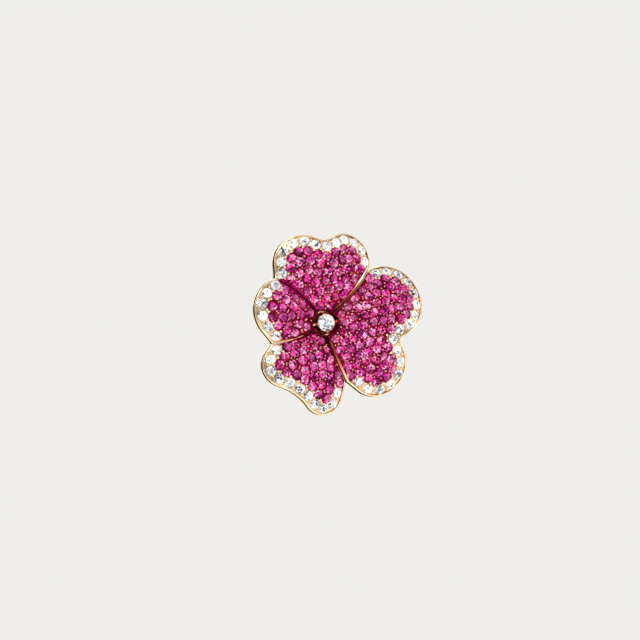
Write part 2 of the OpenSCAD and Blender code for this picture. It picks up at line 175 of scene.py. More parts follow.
class CentreSettings(bpy.types.PropertyGroup):
    """Sizes of the basket that holds the middle stone."""

    girdle: FloatProperty(
        name="Girdle", description="Height of the middle stone's girdle", default=5.6 * MM, unit="LENGTH"
    )
    base: FloatProperty(name="Base", description="Height of the base's underside", default=1.7 * MM, unit="LENGTH")
    base_wall: FloatProperty(name="Base wall", description="Thickness of the base", default=0.7 * MM, unit="LENGTH")
    base_r: FloatProperty(name="Base radius", description="Radius of the base", default=2.03 * MM, unit="LENGTH")
    peg_r: FloatProperty(name="Peg", description="Radius of the peg", default=0.6 * MM, unit="LENGTH")
    peg_end: FloatProperty(name="Peg end", description="Height of the peg's end", default=0.85 * MM, unit="LENGTH")
    collar_r: FloatProperty(name="Collar", description="Radius of the collar", default=1.35 * MM, unit="LENGTH")
    collar_top: FloatProperty(
        name="Collar top", description="Height of the collar's lip", default=5.36 * MM, unit="LENGTH"
    )
    bore_r: FloatProperty(name="Bore", description="Radius of the collar's bore", default=0.95 * MM, unit="LENGTH")
    wire_at: FloatProperty(
        name="Wire place", description="Distance of a prong from the axis", default=1.87 * MM, unit="LENGTH"
    )
    wire_r: FloatProperty(name="Wire", description="Radius of a prong", default=0.21 * MM, unit="LENGTH")
    bend_r: FloatProperty(
        name="Bend", description="Radius of a prong's bend over the stone", default=0.3 * MM, unit="LENGTH"
    )
    bend: FloatProperty(
        name="Bend angle", description="How far a prong leans in", default=math.radians(80), subtype="ANGLE"
    )


class MetalSettings(bpy.types.PropertyGroup):
    """Colours of the gold, and of its painted shade and pink reflections."""

    light: FloatVectorProperty(
        name="Light gold", description="Paler tone of the gold", default=(1.0, 0.81, 0.53), subtype="COLOR"
    )
    deep: FloatVectorProperty(
        name="Deep gold", description="Rosier tone of the gold", default=(0.95, 0.61, 0.34), subtype="COLOR"
    )
    # Beads among pink stones: gold tinted by the stones' painted reflection
    rose: FloatVectorProperty(
        name="Pink-lit bead gold", description="Tone of the beads by pink stones", default=(1.0, 0.52, 0.4), subtype="COLOR"
    )
    # Gold tinted by the pink stones' painted reflection
    pink_light_tone: FloatVectorProperty(
        name="Pink light tone", description="Tone of the gold in the pink light", default=(0.66, 0.18, 0.08), subtype="COLOR"
    )
    # Painted shade in the nooks between white stones
    nook: FloatVectorProperty(
        name="Nook shade", description="Tone of the gold between white stones",
        default=(0.34, 0.18, 0.07), subtype="COLOR",
    )
    # Painted shade on the basket deep in the well
    well_shade: FloatVectorProperty(
        name="Well shade", description="Tone of the gold in the well", default=(0.25, 0.06, 0.035), subtype="COLOR"
    )
    # Painted shade in the grooves round the petals' walls
    groove: FloatVectorProperty(
        name="Groove shade", description="Tone of the gold in the grooves", default=(0.06, 0.03, 0.012), subtype="COLOR"
    )
    shade: FloatVectorProperty(
        name="Shaded gold", description="Tone of the gold beneath pink stones",
        default=(0.17, 0.002, 0.025), subtype="COLOR",
    )
    # A pink painted reflection of the stones on the shaded seams' rims
    pink_reflection_tone: FloatVectorProperty(
        name="Pink reflection tone", description="Tone of the rims that mirror the stones",
        default=(0.62, 0.015, 0.23), subtype="COLOR",
    )


class StageSettings(bpy.types.PropertyGroup):
    """Camera, floor and lights."""

    azimuth: FloatProperty(
        name="Azimuth", description="Camera's turn round the flower", default=math.radians(-17), subtype="ANGLE"
    )
    elevation: FloatProperty(
        name="Elevation", description="Camera's height angle", default=math.radians(-6), subtype="ANGLE"
    )
    distance: FloatProperty(name="Distance", description="Camera to flower", default=0.8, unit="LENGTH")
    pixel: FloatProperty(
        name="Pixel", description="Size of a picture point at the flower", default=0.175 * MM, unit="LENGTH"
    )
    floor_drop: FloatProperty(
        name="Floor", description="Depth of the floor below the flower", default=0.25, unit="LENGTH"
    )
    floor_colour: FloatVectorProperty(
        name="Floor colour", description="Colour of the floor", default=(0.84, 0.83, 0.81), subtype="COLOR"
    )


class Value:
    """A node's socket. Arithmetic on it adds Math nodes."""

    def __init__(self, tree, socket):
        self.tree = tree
        self.socket = socket

    def maths(self, operation, *numbers):
        values = dict(zip(("Value", "Value_001"), numbers))
        return self.tree.add("ShaderNodeMath", {"operation": operation}, values)

    def part(self, name):
        """Another output of the same node."""
        return Value(self.tree, find_socket(self.socket.node.outputs, name))

    def __add__(self, other):
        return self.maths("ADD", self, other)

    def __radd__(self, other):
        return self.maths("ADD", other, self)

    def __sub__(self, other):
        return self.maths("SUBTRACT", self, other)

    def __rsub__(self, other):
        return self.maths("SUBTRACT", other, self)

    def __mul__(self, other):
        return self.maths("MULTIPLY", self, other)

    def __rmul__(self, other):
        return self.maths("MULTIPLY", other, self)

    def __pow__(self, other):
        return self.maths("POWER", self, other)

    def floor(self):
        return self.maths("FLOOR", self)

    def fraction(self):
        return self.maths("FRACT", self)

    def size(self):
        return self.maths("ABSOLUTE", self)

    def clamped(self):
        return self.maths("MINIMUM", self.maths("MAXIMUM", self, 0), 1)


def find_socket(sockets, name):
    """A socket by its identifier, which tells apart sockets of one name, or else by its name."""
    return next((socket for socket in sockets if socket.identifier == name), None) or sockets[name]


class NodeTree:
    """The nodes of a material or of the world. All of them come from its method add."""

    def __init__(self, tree):
        self.tree = tree
        self.tree.nodes.clear()

    def feed(self, socket, value):
        """Links a socket to another node's, or sets its own number or colour."""
        if isinstance(value, Value):
            self.tree.links.new(value.socket, socket)
        elif socket.type == "RGBA":
            socket.default_value = (*value, 1)
        else:
            socket.default_value = value

    def add(self, kind, settings=None, values=None, output=None):
        """Adds a node: its settings first, such as a ramp's stops, then its sockets' values or links."""
        node = self.tree.nodes.new(kind)
        for name, setting in (settings or {}).items():
            if name == "stops":
                while len(node.color_ramp.elements) < len(setting):
                    node.color_ramp.elements.new(1)
                for element, (position, colour) in zip(node.color_ramp.elements, setting):
                    element.position = position
                    element.color = (*colour, 1)
            else:
                setattr(node, name, setting)
        for name, value in (values or {}).items():
            self.feed(find_socket(node.inputs, name), value)
        if not node.outputs:
            return node
        return Value(self, find_socket(node.outputs, output) if output else node.outputs[0])

    def mix(self, first, second, share):
        """Two colours blended by a share of the second."""
        values = {"Factor_Float": share, "A_Color": first, "B_Color": second}
        return self.add("ShaderNodeMix", {"data_type": "RGBA"}, values, "Result_Color")

    def noise(self, place, scale, detail, roughness=0.5):
        """Soft chance patches, about 1/scale metres across."""
        values = {"Vector": place, "Scale": scale, "Detail": detail, "Roughness": roughness}
        return self.add("ShaderNodeTexNoise", values=values)

    def ramp(self, stops, share):
        """A colour between stops, each given as its place from 0 to 1 and its colour."""
        return self.add("ShaderNodeValToRGB", {"stops": stops}, {"Fac": share})

    def attribute(self, name, output="Fac"):
        settings = {"attribute_name": name, "attribute_type": "GEOMETRY"}
        return self.add("ShaderNodeAttribute", settings, output=output)


class Surface(NodeTree):
    """A material: finish gives its shader the values or links of its sockets."""

    def __init__(self, name):
        self.material = bpy.data.materials.new(name)
        self.material.use_nodes = True
        super().__init__(self.material.node_tree)

    def finish(self, **values):
        sockets = {name.replace("_", " "): value for name, value in values.items()}
        shader = self.add("ShaderNodeBsdfPrincipled", values=sockets)
        self.add("ShaderNodeOutputMaterial", values={"Surface": shader})
        return self.material


def halfway(first, second):
    """The colour halfway between two others."""
    return [(a + b) / 2 for a, b in zip(first, second)]


def metal(name, light, deep, rough, grain, well_r=None, edge=(1.0, 1.0, 1.0)):
    """Gold: a slow drift of tone, a little uneven polish, fine scratches and a soft cast surface.

    A petal's point attributes paint light and shade on it. One is the painted shade in its nooks between the white
    stones. The other is how far it takes on the pink stones' painted reflection, then their dark red painted shade,
    and from 1 to 2 a pink painted reflection on the rims. On a piece with well_r, that painted shade fills the well
    instead, that far round the flower's axis. The edge is the colour of a reflection at a flat angle.
    """
    tones = bpy.context.scene.earring_metal
    gold = Surface(name)
    place = gold.add("ShaderNodeTexCoord", output="Object")
    drift = gold.noise(place, 260, 2)
    fine = gold.noise(place, 5200, 3, 0.6) - 0.5
    rub = gold.noise(place, 1400, 4, 0.7) - 0.5
    tone = ((drift - 0.35) * 2.4 + fine * 0.5).clamped()
    colour = gold.ramp([(0.0, light), (0.55, halfway(light, deep)), (1.0, deep)], tone)
    # How far the pink stones' painted reflection and shade lie on a petal
    rose = gold.attribute("rose")
    # On the frame, painted shade fills the well: the hub's front within well_r of the flower's axis
    if well_r:
        hub_front, front_fade, well_fade = 1.6 * MM, 0.05 * MM, 0.2 * MM
        spot = gold.add("ShaderNodeSeparateXYZ", values={"Vector": place})
        off = (spot * spot + spot.part("Z") * spot.part("Z")) ** 0.5
        front = ((spot.part("Y") * -1 - hub_front) * (1 / front_fade)).clamped()
        rose = ((well_r - off) * (1 / well_fade)).clamped() * front
    reach = (rose * (rub * 0.5 + 1)).clamped()
    # Painted shade in the nooks between white stones, in patches
    colour = gold.mix(colour, tones.nook, (gold.attribute("nook") * (rub * 5 + 0.5)).clamped())
    # Painted pink reflection, then dark red painted shade, then on the seams' rims a pink painted reflection
    colour = gold.mix(colour, tones.pink_light_tone, (reach * 2).clamped())
    colour = gold.mix(colour, tones.shade, (reach * 2 - 1).clamped())
    colour = gold.mix(colour, tones.pink_reflection_tone, ((rose - 1) * (fine * 3 + rub * 3 + 0.5)).clamped())
    relief = {"Strength": grain, "Distance": 0.02 * MM, "Height": fine * 0.6 + rub * 0.8}
    return gold.finish(
        Base_Color=colour,
        Metallic=1.0,
        Roughness=(reach * 0.15 + rub * (rough * 1.1) + fine * (rough * 0.5) + rough).clamped(),
        Specular_Tint=edge,
        Normal=gold.add("ShaderNodeBump", values=relief),
    )


def stone_surface(name, stops, painted_rim, painted_sheen, heart_shade, painted_glow, gloss, sectors, lean, spread):
    """Cut glass seen from above, its inner reflections painted as a broken star, and each facet with its tone.

    The star is painted as the lower facets show through the table. The stops are the tones from dark to bright, the
    brightest painted highlights. The rim is the girdle's painted tint, the haze a painted sheen over the middle of some
    stones, and the heart a painted shade, how much darker the middle is. The star's sectors differ in tone by the
    spread, and brighten towards one side by the lean, a painted light. The attribute "cut" holds a chance of the facet,
    one of the stone, how near the facet is to the table, and how deep the stone lies in the flower, for painted shade.
    """
    glass = Surface(name)
    cut = glass.attribute("cut", "Color")
    hollow_shade = cut.part("Alpha")
    facet = glass.add("ShaderNodeSeparateColor", values={"Color": cut})
    stone, level = facet.part("Green"), facet.part("Blue")
    side_facets = level.maths("LESS_THAN", level, 0.99)
    plan = glass.add("ShaderNodeSeparateXYZ", values={"Vector": glass.add("ShaderNodeUVMap", {"uv_map": "plan"})})
    x, y = plan - 0.5, plan.part("Y") - 0.5
    radius = (x * x + y * y) ** 0.5 * 2
    turn = x.maths("ARCTAN2", y, x) * (sectors / math.tau) + stone * sectors
    ring = (radius * (sectors * 0.21 + (turn.fraction() - 0.5).size() * 1.6)).floor()
    layer = stone * 91.7 + facet * side_facets
    where = glass.add("ShaderNodeCombineXYZ", values={"X": turn.floor(), "Y": ring, "Z": layer})
    chance = glass.add("ShaderNodeTexWhiteNoise", {"noise_dimensions": "3D"}, {"Vector": where})
    # The lean brightens each stone towards a side of its own: a painted light
    middle = (turn.floor() + 0.5) * (math.tau / sectors)
    slope = x.maths("COSINE", middle - stone * 44) * (ring + 0.5) * 0.2
    # The part of a multiple after the point is a further chance of the stone
    shade, shift, sheen_chance = ((stone * multiple).fraction() for multiple in (17, 53, 29))
    tone = (chance - 0.5) * spread + slope * lean + facet * 0.12 + (shade - 0.5) * 0.35 + 0.395
    # Painted shade: the heart darkens a stone's middle, the hollow the stones near the flower's middle
    tone = tone - ((0.55 - radius) * 3).clamped() * heart_shade - hollow_shade * 0.12
    colour = glass.ramp(stops, tone.clamped())
    other = glass.add("ShaderNodeSeparateColor", values={"Color": chance.part("Color")})
    hue = shift * 0.035 + other * 0.02 + hollow_shade * 0.012 + 0.4805
    colour = glass.add("ShaderNodeHueSaturation", values={"Hue": hue, "Color": colour})
    # A painted sheen over the middle of some stones
    sheen_share = (sheen_chance * 1.2 + other * 0.5 - facet * 0.4 - 0.35).clamped() * ((0.62 - radius) * 5).clamped()
    colour = glass.mix(colour, painted_sheen, sheen_share * 0.75)
    # The girdle's painted tint
    colour = glass.mix(colour, painted_rim, ((radius - 0.84) * 6).clamped() * 0.45)
    return glass.finish(
        Base_Color=colour,
        Roughness=0.05,
        IOR=1.5,
        Specular_IOR_Level=gloss,
        Coat_Weight=0.06,
        Coat_Roughness=0.03,
        # A painted glow, as though the stone were lit from within
        Emission_Color=colour,
        Emission_Strength=painted_glow,
    )


def deselect():
    if bpy.context.object and bpy.context.object.mode == "EDIT":
        bpy.ops.object.mode_set(mode="OBJECT")
    bpy.ops.object.select_all(action="DESELECT")


def activate(piece):
    deselect()
    piece.select_set(True)
    bpy.context.view_layer.objects.active = piece


def edit(piece, kind="FACE", action="DESELECT"):
    """Opens a piece in edit mode, with nothing or with everything selected."""
    activate(piece)
    bpy.ops.object.mode_set(mode="EDIT")
    bpy.ops.mesh.select_mode(type=kind)
    bpy.ops.mesh.select_all(action=action)


def close(piece):
    bmesh.update_edit_mesh(piece.data)
    bpy.ops.object.mode_set(mode="OBJECT")


def outwards(piece):
    """Merges the doubled points of the piece being edited, turns its faces outwards and closes it."""
    bpy.ops.mesh.select_all(action="SELECT")
    bpy.ops.mesh.remove_doubles(threshold=0.001 * MM)
    bpy.ops.mesh.normals_make_consistent(inside=False)
    close(piece)


def copied(piece):
    """A copy of a piece, with a mesh of its own."""
    twin = piece.copy()
    twin.data = piece.data.copy()
    bpy.context.scene.collection.objects.link(twin)
    return twin


def joined(parts, name):
    """Joins parts into one piece, on the first."""
    deselect()
    for part in parts:
        part.select_set(True)
    piece = bpy.context.view_layer.objects.active = parts[0]
    if len(parts) > 1:
        bpy.ops.object.join()
    piece.name = piece.data.name = name
    return piece


def added(name):
    """Names the primitive that was just added and puts its place in its mesh."""
    piece = bpy.context.object
    piece.name = piece.data.name = name
    bpy.ops.object.transform_apply(location=True, rotation=True, scale=True)
    return piece


def welded_copy(node, name):
    """A CAD node's shape as a new piece, with its loose triangles joined."""
    piece = bpy.data.objects.new(name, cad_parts[node].data.copy())
    piece.data.name = name
    bpy.context.scene.collection.objects.link(piece)
    piece.data.materials.clear()
    edit(piece, "VERT", "SELECT")
    bpy.ops.mesh.remove_doubles(threshold=WELD)
    bpy.ops.mesh.customdata_custom_splitnormals_clear()
    close(piece)
    return piece


def round_edges(piece, degrees, width, segments, test=None):
    """Rounds a piece's outward edges that turn by more than some degrees, and shades it smooth between its edges."""
    least, sliver = math.radians(degrees), 1e-6 * MM * MM
    edit(piece, "EDGE")
    edit_select(
        piece, "EDGE",
        lambda e: len(e.link_faces) == 2 and e.is_convex and e.calc_face_angle() > least
        and min(f.calc_area() for f in e.link_faces) > sliver and (test is None or test(e)),
    )
    bpy.ops.mesh.bevel(
        offset=width, offset_type="OFFSET", segments=segments, profile=0.5, affect="EDGES", clamp_overlap=False
    )
    close(piece)
    activate(piece)
    bpy.ops.object.shade_smooth_by_angle(angle=math.radians(36))


def dress(piece, slot, nodes, *materials):
    """Gives a piece its materials and its body, and hides the CAD nodes that it stands for. The slot is not used."""
    for material in materials:
        piece.data.materials.append(material)
    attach(piece, "root")
    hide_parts(*nodes)


def off_axis(point):
    """How far a point is from the flower's axis."""
    return math.hypot(point.x, point.z)


def facing(direction):
    """The turn that points a piece's own +Z in a direction."""
    return direction.to_track_quat("Z", "Y").to_matrix().to_4x4()


def stone_seats(node):
    """Where each stone of a CAD node sits: the middle of its girdle's foot, its outward direction and its diameter."""
    settings = bpy.context.scene.earring_stones
    shape = bmesh.new()
    shape.from_mesh(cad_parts[node].data)
    bmesh.ops.remove_doubles(shape, verts=shape.verts, dist=WELD)
    seats, seen = [], set()
    for start in shape.verts:
        if start in seen:
            continue
        stone, front = {start}, [start]
        while front:
            for edge in front.pop().link_edges:
                for vert in edge.verts:
                    if vert not in stone:
                        stone.add(vert)
                        front.append(vert)
        seen |= stone
        areas = {}
        for face in {f for v in stone for f in v.link_faces}:
            # The table is the largest flat side
            key = tuple(round(c, 2) for c in face.normal)
            areas[key] = areas.get(key, Vector()) + face.normal * face.calc_area()
        axis = max(areas.values(), key=lambda a: a.length).normalized()
        tip = min(stone, key=lambda v: v.co.dot(axis)).co
        height = max(v.co.dot(axis) for v in stone) - tip.dot(axis)
        size = height / (settings.pavilion + settings.crown)
        seats.append((tip + axis * settings.pavilion * size, axis, size))
    shape.free()
    return seats


def facet_ring(count, turn, reach, height, slope):
    """Cuts a ring of facets on the piece being edited.

    Each passes through a point at reach and height, and falls away at the slope. A turn of 0.5 is half a facet.
    """
    side = 1 if height > 0 else -1
    for k in range(count):
        a = math.tau * (k + turn) / count
        out = Vector((math.cos(a), math.sin(a), 0))
        normal = out * math.sin(slope) + Vector((0, 0, side * math.cos(slope)))
        bpy.ops.mesh.select_all(action="SELECT")
        bpy.ops.mesh.bisect(
            plane_co=out * reach + Vector((0, 0, height)), plane_no=normal, use_fill=True, clear_outer=True
        )


def cut_stone(name, mains):
    """A round stone of unit diameter, cut from a rod: a crown of table, stars, mains and half facets, and a point."""
    settings = bpy.context.scene.earring_stones
    top, foot = settings.crown, settings.pavilion
    deselect()
    bpy.ops.mesh.primitive_cylinder_add(
        vertices=2 * mains, radius=0.5, depth=top + foot, location=(0, 0, (top - foot) / 2), end_fill_type="NGON"
    )
    piece = added(name)
    edit(piece)
    table_r = settings.table / 2
    corner = table_r / math.cos(math.pi / mains)
    half_step = 0.5 * math.cos(math.pi / mains / 2)
    scallop, girdle_slope, star_slope, foot_r = 0.012, math.radians(43), math.radians(22), 0.47
    facet_ring(mains, 0, corner, top, math.atan((top - settings.girdle) / (0.5 - corner)))
    facet_ring(2 * mains, 0.5, half_step, settings.girdle + scallop, girdle_slope)
    facet_ring(mains, 0.5, table_r, top, star_slope)
    bpy.ops.mesh.select_all(action="SELECT")
    bpy.ops.mesh.remove_doubles(threshold=0.002)
    facet_ring(mains, 0, foot_r, 0, math.atan(foot * 0.95 / foot_r))
    close(piece)
    for polygon in piece.data.polygons:
        polygon.use_smooth = False
    return piece


def set_stones(name, template, seats, growth, chance):
    """One piece of copies of a cut stone, each turned, leaned and toned by chance."""
    settings = bpy.context.scene.earring_stones
    fade, largest_pink = settings.hollow_shade_r * 0.6, 1.7 * MM
    stones = []
    for at, axis, size in seats:
        stone = copied(template)
        mesh = stone.data
        cut = mesh.color_attributes.new("cut", "FLOAT_COLOR", "CORNER")
        plan = mesh.uv_layers.new(name="plan")
        tone = chance.random()
        # Painted shade on the small stones nearer the flower's middle
        hollow_shade = min(max((settings.hollow_shade_r - off_axis(at)) / fade, 0.0), 1.0)
        for polygon in mesh.polygons:
            level = max(0.0, polygon.normal.z)
            shade = (chance.random(), tone, level, hollow_shade if size < largest_pink else 0.0)
            for k in polygon.loop_indices:
                point = mesh.vertices[mesh.loops[k].vertex_index].co
                cut.data[k].color = shade
                plan.data[k].uv = (point.x + 0.5, point.y + 0.5)
        lean = Vector((chance.uniform(-1, 1), chance.uniform(-1, 1), 0)) * math.tan(settings.tilt / math.sqrt(2))
        leaning = facing(Vector((lean.x, lean.y, 1)))
        turned = Matrix.Rotation(chance.random() * math.tau, 4, "Z")
        place = Matrix.Translation(at - axis * settings.sink)
        mesh.transform(place @ facing(axis) @ leaning @ turned @ Matrix.Scale(size * growth, 4))
        stones.append(stone)
    return joined(stones, name)


def between(a, b, c):
    """The point level with three stones' edges, its direction and how far it is from them.

    Each stone is its place, direction and radius.
    """
    e = (b[0] - a[0]).normalized()
    normal = e.cross(c[0] - a[0]).normalized()
    f = normal.cross(e)
    flat = [((s[0] - a[0]).dot(e), (s[0] - a[0]).dot(f), s[2]) for s in (a, b, c)]
    (_, _, r0), (x1, y1, r1), (x2, y2, r2) = flat
    k1 = (x1 * x1 + y1 * y1 - r1 * r1 + r0 * r0) / 2
    k2 = (x2 * x2 + y2 * y2 - r2 * r2 + r0 * r0) / 2
    area = x1 * y2 - x2 * y1
    if abs(area) < 1e-9:
        return None, None, 0
    x, y = (k1 * y2 - k2 * y1) / area, (x1 * k2 - x2 * k1) / area
    room = min(math.hypot(x - p[0], y - p[1]) - p[2] for p in flat)
    return a[0] + e * x + f * y, (a[1] + b[1] + c[1]).normalized(), room


def bead_places(stones):
    """Places for beads: one between each three stones side by side, and one outside each pair along the edge."""
    settings = bpy.context.scene.earring_beads
    flat = [Vector((s[0].x, s[0].z)) for s in stones]
    triangles = delaunay_2d_cdt(flat, [], [], 0, 1e-9)[2]
    edges, places = {}, []
    for triangle in triangles:
        three = [stones[k] for k in triangle]
        spans = [(three[k][0] - three[k - 1][0]).length - three[k][2] - three[k - 1][2] for k in range(3)]
        if max(spans) > settings.span:
            continue
        at, axis, room = between(*three)
        if at and room > 0.02 * MM:
            size = min(max(room + settings.bite, settings.least), settings.most)
            if off_axis(at) < settings.well_r:
                size *= settings.inner
            places.append((at, axis, size, triangle))
        for k in range(3):
            pair = tuple(sorted((triangle[k], triangle[k - 1])))
            edges.setdefault(pair, []).append(triangle)
    for (i, j), users in edges.items():
        if len(users) > 1:
            continue
        a, b = stones[i], stones[j]
        (third,) = [k for k in users[0] if k not in (i, j)]
        axis = (a[1] + b[1]).normalized()
        along = (b[0] - a[0]).normalized()
        away = along.cross(axis).normalized()
        mid = (a[0] + b[0]) / 2
        if away.dot(stones[third][0] - mid) > 0:
            away = -away
        by_well = off_axis(mid) < settings.well_r
        size, reach = (settings.most * 1.1, 0.62) if by_well else (settings.least * 1.05, 0.52)
        places.append((mid + away * reach * (a[2] + b[2]) / 2, axis, size, (i, j)))
    return places


def bead(name):
    """A drop of metal raised with a graver: a low dome on a short, wider foot, of unit radius."""
    deselect()
    bpy.ops.mesh.primitive_uv_sphere_add(segments=10, ring_count=8, radius=1, location=(0, 0, 0))
    piece = added(name)
    edit(piece, action="SELECT")
    foot, foot_r, dome_from = -1.2, 1.18, -0.02
    bpy.ops.mesh.bisect(plane_co=(0, 0, dome_from), plane_no=(0, 0, -1), use_fill=False, clear_outer=True)
    edit_select(piece, "EDGE", lambda e: e.is_boundary)
    draw_on((0, 0, foot), (0, 0, foot), (foot_r, foot_r, 1))
    bpy.ops.mesh.edge_face_add()
    outwards(piece)
    activate(piece)
    bpy.ops.object.shade_smooth()
    return piece


def edit_select(piece, kind, test):
    """Selects the faces, edges or points of the piece being edited that pass a test."""
    bpy.ops.mesh.select_mode(type=kind)
    bpy.ops.mesh.select_all(action="DESELECT")
    shape = bmesh.from_edit_mesh(piece.data)
    parts = {"FACE": shape.faces, "EDGE": shape.edges, "VERT": shape.verts}[kind]
    found = [p for p in parts if test(p)]
    for p in found:
        p.select_set(True)
    if not found:
        raise RuntimeError(f"nothing to select on {piece.name}")
    shape.select_flush_mode()
    bmesh.update_edit_mesh(piece.data)


class EARRING_OT_stage(bpy.types.Operator):
    """Sets the camera, the pale floor and the studio lights"""

    bl_idname = "earring.stage"
    bl_label = "Stage"

    def execute(self, context):
        s = context.scene.earring_stage
        level = math.cos(s.elevation)
        back = Vector((math.sin(s.azimuth) * level, -math.cos(s.azimuth) * level, math.sin(s.elevation)))
        turn = (-back).to_track_quat("-Z", "Y")
        right, up = turn @ Vector((1, 0, 0)), turn @ Vector((0, 1, 0))
        stone = Vector((0, -context.scene.earring_centre.girdle, 0))
        # How far the middle stone is from the picture's middle, in picture points
        stone_right, stone_below, half_picture = 6.1, 2.7, 320
        target = stone - right * stone_right * s.pixel + up * stone_below * s.pixel
        camera = bpy.data.objects.new("camera", bpy.data.cameras.new("camera"))
        context.scene.collection.objects.link(camera)
        context.scene.camera = camera
        camera.data.sensor_width = 36
        camera.data.lens = camera.data.sensor_width / 2 / (half_picture * s.pixel / s.distance)
        camera.data.clip_start, camera.data.clip_end = 0.01, 20
        camera.rotation_mode = "QUATERNION"
        camera.rotation_quaternion = turn
        camera.location = target + back * s.distance

        deselect()
        bpy.ops.mesh.primitive_circle_add(vertices=96, radius=4, location=(0, 0, -s.floor_drop), fill_type="NGON")
        floor = added("floor")
        ground = Surface("pale_floor")
        place = ground.add("ShaderNodeTexCoord", output="Object")
        low = [c * 0.985 for c in s.floor_colour]
        colour = ground.ramp([(0.3, low), (0.7, s.floor_colour)], ground.noise(place, 1.5, 2))
        finish = ground.finish(Base_Color=colour, Roughness=0.9, Emission_Color=colour, Emission_Strength=0.38)
        floor.data.materials.append(finish)

        lights = (
            # name, place, size, power, colour
            ("key", (-0.42, -0.62, 0.62), (0.40, 0.40), 1.2, (1.0, 0.98, 0.95)),
            ("side", (0.75, -0.30, 0.20), (0.18, 0.55), 1.1, (0.97, 0.98, 1.0)),
            ("front", (0.12, -0.95, 0.05), (0.10, 0.10), 0.25, (1.0, 1.0, 1.0)),
            ("top", (0.05, 0.15, 0.80), (0.6, 0.3), 1.4, (1.0, 0.99, 0.97)),
            ("back", (-0.3, 0.75, 0.35), (0.4, 0.4), 1.2, (1.0, 0.98, 0.95)),
            ("spark_a", (-0.22, -0.55, 0.18), (0.03, 0.03), 0.10, (1.0, 1.0, 1.0)),
            ("spark_b", (0.26, -0.60, 0.30), (0.03, 0.03), 0.10, (1.0, 1.0, 1.0)),
            ("spark_c", (-0.05, -0.60, -0.16), (0.03, 0.03), 0.08, (1.0, 1.0, 1.0)),
            ("spark_d", (-0.45, -0.40, -0.05), (0.03, 0.03), 0.08, (1.0, 0.97, 0.92)),
            ("spark_e", (0.05, -0.50, 0.45), (0.03, 0.03), 0.08, (1.0, 1.0, 1.0)),
        )
        for name, at, size, power, colour in lights:
            lamp = bpy.data.lights.new(name, "AREA")
            lamp.shape = "RECTANGLE"
            lamp.size, lamp.size_y = size
            lamp.energy, lamp.color = power, colour
            holder = bpy.data.objects.new(name, lamp)
            holder.location = at
            holder.rotation_mode = "QUATERNION"
            holder.rotation_quaternion = (-Vector(at)).to_track_quat("-Z", "Y")
            context.scene.collection.objects.link(holder)

        world = bpy.data.worlds.new("studio")
        context.scene.world = world
        world.use_nodes = True
        room = NodeTree(world.node_tree)
        way = room.add("ShaderNodeTexCoord", output="Generated")
        across = room.add("ShaderNodeSeparateXYZ", values={"Vector": way})
        greys = [(0.0, 0.16), (0.42, 0.3), (0.55, 0.68), (1.0, 0.82)]
        stops = [(at, (grey, grey * 0.985, grey * 0.96)) for at, grey in greys]
        walls = room.ramp(stops, across.part("Z") * 0.5 + 0.5)
        front = (across.part("Y") * -2.2 - 0.9).clamped()
        lit = room.add("ShaderNodeBackground", values={"Color": walls, "Strength": 1 - front * 0.35})
        pale = room.add("ShaderNodeBackground", values={"Color": (0.865, 0.855, 0.835)})
        seen = room.add("ShaderNodeLightPath", output="Is Camera Ray")
        both = room.add("ShaderNodeMixShader", values={"Fac": seen, "Shader": lit, "Shader_001": pale})
        room.add("ShaderNodeOutputWorld", values={"Surface": both})
        context.scene.view_settings.view_transform = "Standard"
        context.scene.view_settings.look = "None"
        return {"FINISHED"}


def is_upright(face):
    """Whether a face stands square to the flower's plane, as a petal's wall does."""
    return abs(face.normal.y) < 0.02


def groove_wall(piece, s):
    """Cuts a shallow groove into the wall round a petal, between two ridges."""
    standoff_r, least_depth, peg_end = 1.6 * MM, 0.8 * MM, 0.05 * MM
    edit(piece)
    low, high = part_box("back_frame")
    behind = [v.co for v in piece.data.vertices if low[0] < v.co.x < high[0] and low[2] < v.co.z < high[2]]
    back = max(point.y for point in behind)
    peg = [point for point in behind if point.y > back - peg_end]
    axis = sum(peg, Vector()) / len(peg)

    def is_wall(face):
        depth = [v.co.y for v in face.verts]
        by_standoff = off_axis(face.calc_center_median() - axis) <= standoff_r
        return is_upright(face) and max(depth) - min(depth) > least_depth and not by_standoff

    edit_select(piece, "FACE", is_wall)
    bpy.ops.mesh.inset(thickness=s.ridge, depth=0, use_boundary=True, use_even_offset=False)
    bpy.ops.mesh.inset(thickness=s.step, depth=-s.groove, use_boundary=True, use_even_offset=False)
    # The groove takes the gold darkened with painted shade
    piece.active_material_index = 1
    bpy.ops.object.material_slot_assign()
    close(piece)


def distance(point, start, end):
    """How far a point is from a straight line between two others."""
    share = min(max((point - start).dot(end - start) / (end - start).length_squared, 0), 1)
    return (point - start - (end - start) * share).length


